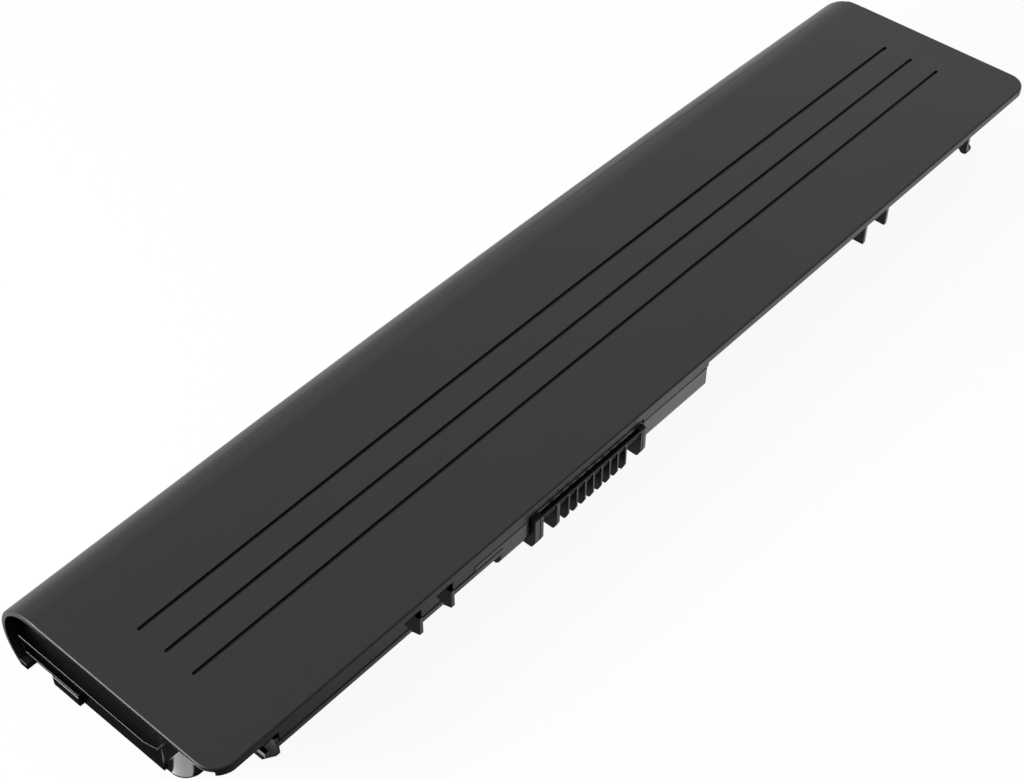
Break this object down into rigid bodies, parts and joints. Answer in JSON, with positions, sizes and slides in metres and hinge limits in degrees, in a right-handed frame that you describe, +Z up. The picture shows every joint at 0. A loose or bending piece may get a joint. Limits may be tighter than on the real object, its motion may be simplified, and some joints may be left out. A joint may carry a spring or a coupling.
{
  "type": "laptop battery",
  "caption": "Long flat notebook battery pack with a rolled back edge, grooved cover over a cell tray, comb connector and latch fins along the front.",
  "frame": {"origin": "centre of the bounding box in X and Y, on the tray's underside", "axes": "+X along the pack, with the connector nearer the -X end; +Y from the connector side to the rolled back edge; +Z up, out of the grooved cover"},
  "size_m": [0.27, 0.0654, 0.0203],
  "materials": {
    "cover_plastic": "fine matte moulded texture",
    "tray_plastic": "satin moulded",
    "connector_plastic": "satin moulded",
    "contact_metal": "gold-plated spring metal",
    "board_laminate": "satin solder mask",
    "chip_black": "moulded epoxy",
    "fuse_ceramic": "matte ceramic",
    "shunt_metal": "rolled alloy",
    "capacitor_ceramic": "fired ceramic",
    "cell_sleeve": "shrunk sleeve over a steel can",
    "nickel": "rolled nickel",
    "lead_sleeve": "insulating sleeve over flat nickel lead",
    "tape_foam": "double-sided foam tape"
  },
  "bodies": {
    "root": {"top_cover": "cover_plastic", "bottom_tray": "tray_plastic", "connector_housing": "connector_plastic", "connector_contacts": "contact_metal", "circuit_board": "board_laminate", "gauge_chip": "chip_black", "protection_chip": "chip_black", "power_transistors": "chip_black", "cutoff_fuse": "fuse_ceramic", "current_shunt": "shunt_metal", "board_capacitors": "capacitor_ceramic", "cell_tape_front": "tape_foam", "cell_tape_back": "tape_foam", "cell_front_1": "cell_sleeve", "cell_front_2": "cell_sleeve", "cell_front_3": "cell_sleeve", "cell_front_4": "cell_sleeve", "cell_back_1": "cell_sleeve", "cell_back_2": "cell_sleeve", "cell_back_3": "cell_sleeve", "cell_back_4": "cell_sleeve", "nickel_strip_1": "nickel", "nickel_strip_2": "nickel", "nickel_strip_3": "nickel", "nickel_strip_4": "nickel", "nickel_strip_5": "nickel", "lead_ribbon_1": "lead_sleeve", "lead_ribbon_2": "lead_sleeve", "lead_ribbon_3": "lead_sleeve", "lead_ribbon_4": "lead_sleeve", "lead_ribbon_5": "lead_sleeve"}
  },
  "joints": []
}
